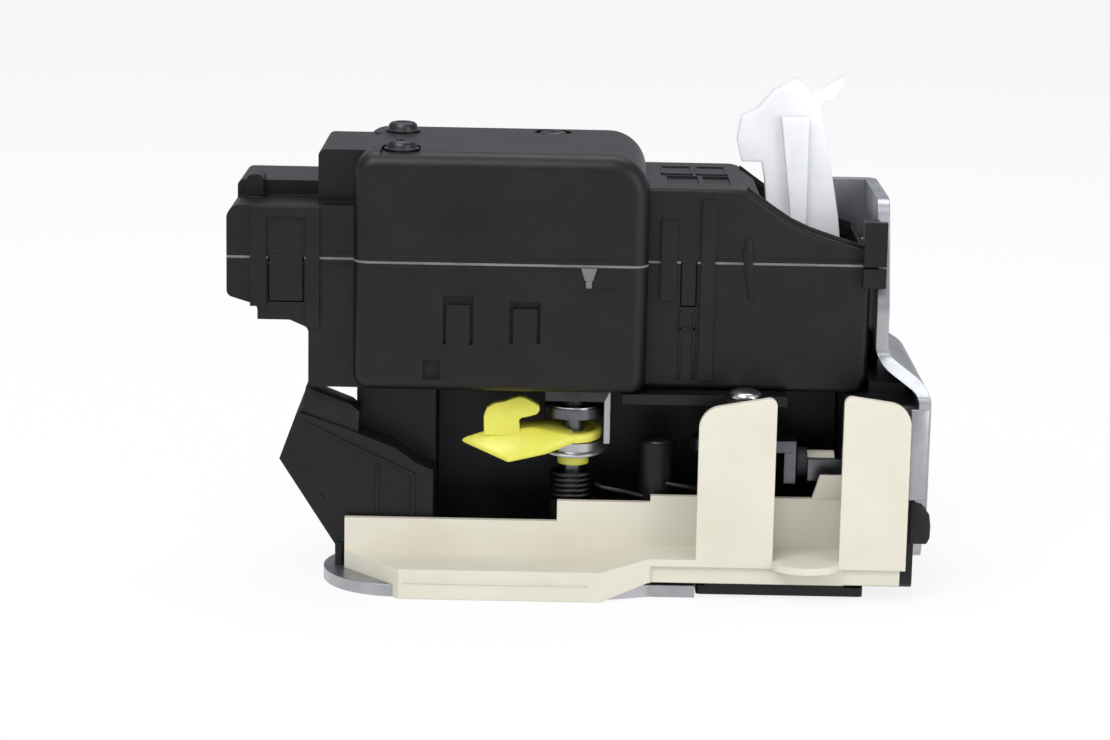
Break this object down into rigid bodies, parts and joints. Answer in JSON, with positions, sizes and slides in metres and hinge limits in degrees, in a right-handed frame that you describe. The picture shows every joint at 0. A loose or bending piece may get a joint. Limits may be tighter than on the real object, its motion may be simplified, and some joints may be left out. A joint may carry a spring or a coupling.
{
  "type": "door latch actuator",
  "caption": "Car door latch with a motor-driven lock: a claw and pawl behind a dished steel plate, levers under a two-part plastic housing, and a slanted plug socket.",
  "frame": {"origin": "on the outer face of the steel face plate, on the striker mouth's centreline, 3 mm above the mouth's closed end", "axes": "+X out of the face plate towards the striker, +Y away from the lever side, +Z from the base plate to the housing and the lock lever"},
  "size_m": [0.1515, 0.0594, 0.1096],
  "materials": {
    "black_plastic": "fine moulded texture",
    "zinc_steel": "zinc plated, dull",
    "dark_steel": "black zinc",
    "bright_steel": "polished",
    "spring_steel": "oiled wire",
    "gasket_foam": "grey soft seal",
    "rubber": "soft black",
    "cream_nylon": "natural nylon",
    "white_plastic": "satin",
    "milky_plastic": "translucent white",
    "yellow_zinc": "yellow passivated",
    "yellow_plastic": "gloss",
    "grey_washer": "grey nylon",
    "bronze": "sintered",
    "tinned_brass": "tinned"
  },
  "bodies": {
    "housing": {"upper_cover": "black_plastic", "lower_base": "black_plastic", "housing_gasket": "gasket_foam", "cover_screws": "dark_steel", "frame_screw": "bright_steel", "face_plate": "zinc_steel", "mouth_liner": "black_plastic", "back_plate": "zinc_steel", "claw_housing": "black_plastic", "mouth_buffer": "rubber", "claw_pin": "bright_steel", "pawl_pin": "bright_steel", "claw_spring": "spring_steel", "pawl_spring": "spring_steel", "base_plate": "zinc_steel", "lever_frame": "black_plastic", "bottom_cover": "black_plastic", "guard": "cream_nylon", "connector_shroud": "black_plastic", "connector_pins": "tinned_brass", "lead_frame": "tinned_brass", "exterior_pin": "dark_steel", "pin_bracket": "zinc_steel", "exterior_spring": "spring_steel", "release_pin": "dark_steel", "release_spring": "spring_steel", "motor_can": "zinc_steel", "motor_end_cap": "white_plastic", "motor_terminals": "tinned_brass", "worm_bearing": "bronze", "gear_pin": "bright_steel", "lock_pin": "bright_steel", "lock_switch": "white_plastic", "claw_switch": "white_plastic"},
    "motor_rotor": {"rotor": "dark_steel", "motor_shaft": "bright_steel", "worm": "bronze"},
    "gear_wheel": {"worm_wheel": "white_plastic"},
    "lock_lever": {"lock_lever": "milky_plastic"},
    "claw": {"claw": "zinc_steel", "claw_jacket": "black_plastic"},
    "pawl": {"pawl": "zinc_steel"},
    "release_lever": {"release_lever": "zinc_steel", "release_bush": "cream_nylon", "bush_ring": "rubber"},
    "exterior_lever": {"exterior_lever": "yellow_zinc", "lever_washer": "grey_washer"},
    "lock_plunger": {"lock_switch_plunger": "yellow_plastic"},
    "claw_plunger": {"claw_switch_plunger": "yellow_plastic"}
  },
  "joints": [
    {"name": "rotor_spin", "type": "hinge", "parent": "housing", "child": "motor_rotor", "pos_m": [-0.062, 0.001, 0.041], "axis": [1, 0, 0], "range_deg": [0, 1120]},
    {"name": "worm_wheel_turn", "type": "hinge", "parent": "housing", "child": "gear_wheel", "pos_m": [-0.05266, 0.003, 0.0275], "axis": [0, 1, 0], "range_deg": [-56, 0]},
    {"name": "lock_lever_turn", "type": "hinge", "parent": "housing", "child": "lock_lever", "pos_m": [-0.023, 0.005, 0.032], "axis": [0, 1, 0], "range_deg": [0, 14]},
    {"name": "claw_turn", "type": "hinge", "parent": "housing", "child": "claw", "pos_m": [-0.007, 0.014, -0.007], "axis": [-1, 0, 0], "range_deg": [0, 50], "stiffness_Nm_per_rad": 0.03, "springref_deg": -28.65},
    {"name": "release_lever_turn", "type": "hinge", "parent": "housing", "child": "release_lever", "pos_m": [-0.038, -0.006, 0], "axis": [0, 0, -1], "range_deg": [0, 6.8], "stiffness_Nm_per_rad": 0.2, "springref_deg": -17.19},
    {"name": "pawl_turn", "type": "hinge", "parent": "housing", "child": "pawl", "pos_m": [-0.007, -0.013, -0.012], "axis": [1, 0, 0], "range_deg": [0, 17.7]},
    {"name": "exterior_lever_turn", "type": "hinge", "parent": "housing", "child": "exterior_lever", "pos_m": [-0.0757, -0.007, 0.003], "axis": [0, 0, 1], "range_deg": [0, 22], "stiffness_Nm_per_rad": 0.1, "springref_deg": -17.19},
    {"name": "lock_switch_press", "type": "slide", "parent": "housing", "child": "lock_plunger", "axis": [0, 0, -1], "range_m": [0, 0.0008], "stiffness_N_per_m": 100, "springref_m": -0.002},
    {"name": "claw_switch_press", "type": "slide", "parent": "housing", "child": "claw_plunger", "axis": [0, 0, 1], "range_m": [0, 0.0008], "stiffness_N_per_m": 100, "springref_m": -0.002}
  ],
  "couplings": [
    {"joint": "worm_wheel_turn", "follows": "rotor_spin", "ratio": -0.05},
    {"joint": "lock_lever_turn", "follows": "rotor_spin", "ratio": 0.0125},
    {"joint": "pawl_turn", "follows": "release_lever_turn", "ratio": 2.6}
  ]
}
